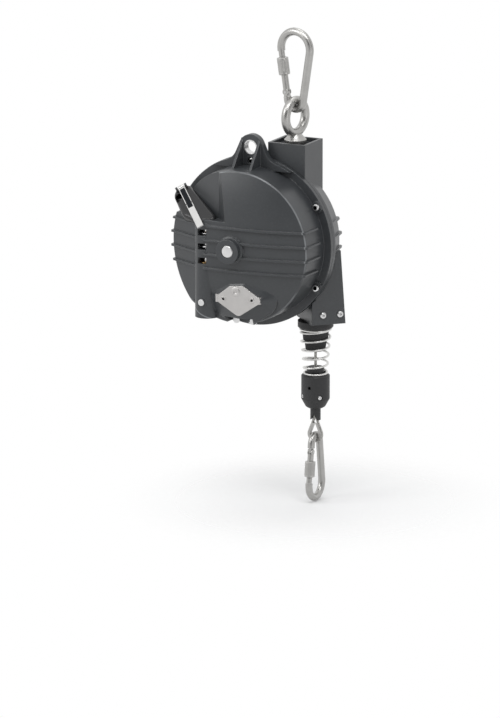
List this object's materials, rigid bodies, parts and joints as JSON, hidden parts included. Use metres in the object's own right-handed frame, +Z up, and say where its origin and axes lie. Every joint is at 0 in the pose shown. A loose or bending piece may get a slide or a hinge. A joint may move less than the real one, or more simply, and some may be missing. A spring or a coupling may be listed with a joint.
{
  "type": "tool balancer",
  "caption": "Spring balancer with a round ribbed housing, worm load adjuster, retracting wire rope and two screw-gate carabiners.",
  "frame": {"origin": "Inside top of the top carabiner's bow, where it hangs, in the plane of the carabiner", "axes": "+Z up along the suspension; +Y towards the back of the housing, so the cover with the drum axis faces -Y; +X towards the rope"},
  "size_m": [0.2451, 0.1785, 0.6717],
  "materials": {
    "casting": "satin",
    "black_plastic": "matte",
    "black_rubber": "matte",
    "forged_zinc": "satin",
    "polished_steel": "polished",
    "zinc_plate": "satin",
    "screw_steel": "satin",
    "machined_steel": "satin",
    "spring_steel": "satin",
    "wire_rope": "satin",
    "bronze": "satin",
    "drum_alloy": "satin",
    "seal": "matte"
  },
  "bodies": {
    "top_carabiner": {"top_hook": "forged_zinc", "top_gate_pin": "machined_steel"},
    "top_gate": {"top_gate": "forged_zinc"},
    "top_sleeve": {"top_sleeve": "forged_zinc"},
    "eye": {"eye_bolt": "forged_zinc", "eye_nut": "screw_steel", "nut_pin": "screw_steel"},
    "housing": {"rear_housing": "casting", "front_cover": "casting", "flange_gasket": "seal", "cover_screws": "screw_steel", "lug_bush": "screw_steel", "thrust_washer": "screw_steel", "front_bush": "bronze", "rear_bush": "bronze", "worm_bush_upper": "bronze", "worm_bush_lower": "bronze", "worm_stop_screw": "screw_steel", "lock_boss": "black_plastic", "lock_pin": "machined_steel", "lock_plate": "zinc_plate", "plate_screws": "screw_steel", "recess_bolts": "screw_steel", "rope_guide": "black_plastic", "guide_flange": "black_plastic", "guide_screws": "screw_steel", "rope_bumper": "black_rubber"},
    "adjuster": {"main_shaft": "machined_steel", "shaft_bolt": "screw_steel", "worm_wheel": "bronze", "wheel_key": "machined_steel", "drum_circlip": "machined_steel"},
    "worm": {"worm": "machined_steel"},
    "drum": {"rope_drum": "drum_alloy", "drum_bushes": "bronze", "wound_rope": "wire_rope", "spring_case": "drum_alloy", "spring_lid": "drum_alloy", "power_spring": "spring_steel"},
    "rope_end": {"rope_fall": "wire_rope", "buffer_spring": "spring_steel", "clamp_body": "black_plastic", "clamp_screws": "screw_steel", "neck_sleeve": "black_plastic", "thimble": "forged_zinc", "rope_loop": "wire_rope"},
    "bottom_carabiner": {"bottom_hook": "forged_zinc", "bottom_gate_pin": "machined_steel"},
    "bottom_gate": {"bottom_gate": "forged_zinc"},
    "bottom_sleeve": {"bottom_sleeve": "forged_zinc"},
    "lock_lever": {"lock_lever": "polished_steel"}
  },
  "joints": [
    {"name": "hanger_swing", "type": "hinge", "parent": "top_carabiner", "child": "eye", "pos_m": [0, 0, -0.1035], "axis": [0.9848, -0.1736, 0], "range_deg": [-40, 40]},
    {"name": "housing_swivel", "type": "hinge", "parent": "eye", "child": "housing", "pos_m": [0, 0, -0.1537], "axis": [0, 0, 1], "continuous": true},
    {"name": "drum_spin", "type": "hinge", "parent": "housing", "child": "drum", "pos_m": [-0.0475, 0, -0.2877], "axis": [0, 1, 0], "range_deg": [0, 1448], "stiffness_Nm_per_rad": 0.05, "springref_deg": -1375.1},
    {"name": "rope_travel", "type": "slide", "parent": "housing", "child": "rope_end", "axis": [0, 0, -1], "range_m": [0, 2], "deforming": ["rope_fall"]},
    {"name": "load_adjust", "type": "hinge", "parent": "housing", "child": "adjuster", "pos_m": [-0.0475, 0, -0.2877], "axis": [0, 1, 0], "range_deg": [0, 180]},
    {"name": "worm_turn", "type": "hinge", "parent": "housing", "child": "worm", "pos_m": [-0.0935, -0.087, -0.2877], "axis": [0, 0, 1], "range_deg": [-6840, 0]},
    {"name": "lock_lever_lift", "type": "hinge", "parent": "housing", "child": "lock_lever", "pos_m": [-0.1475, -0.059, -0.2182], "axis": [-0.7583, -0.4815, -0.4394], "range_deg": [0, 50]},
    {"name": "hook_swing", "type": "hinge", "parent": "rope_end", "child": "bottom_carabiner", "pos_m": [0.0316, 0, -0.5787], "axis": [1, 0, 0], "range_deg": [-30, 30]},
    {"name": "top_gate_swing", "type": "hinge", "parent": "top_carabiner", "child": "top_gate", "pos_m": [-0.01451, 0.00256, -0.08092], "axis": [0.1736, 0.9848, 0], "range_deg": [0, 24], "stiffness_Nm_per_rad": 0.03, "springref_deg": -34.38},
    {"name": "top_sleeve_run", "type": "slide", "parent": "top_gate", "child": "top_sleeve", "axis": [-0.1584, 0.0279, 0.987], "range_m": [0, 0.006]},
    {"name": "bottom_gate_swing", "type": "hinge", "parent": "bottom_carabiner", "child": "bottom_gate", "pos_m": [0.0316, -0.01431, -0.58763], "axis": [1, 0, 0], "range_deg": [0, 24], "stiffness_Nm_per_rad": 0.03, "springref_deg": -34.38},
    {"name": "bottom_sleeve_run", "type": "slide", "parent": "bottom_gate", "child": "bottom_sleeve", "axis": [0, -0.1327, -0.9912], "range_m": [0, 0.006]}
  ],
  "couplings": [
    {"joint": "rope_travel", "follows": "drum_spin", "m_per_rad": 0.0791},
    {"joint": "worm_turn", "follows": "load_adjust", "ratio": -38}
  ]
}
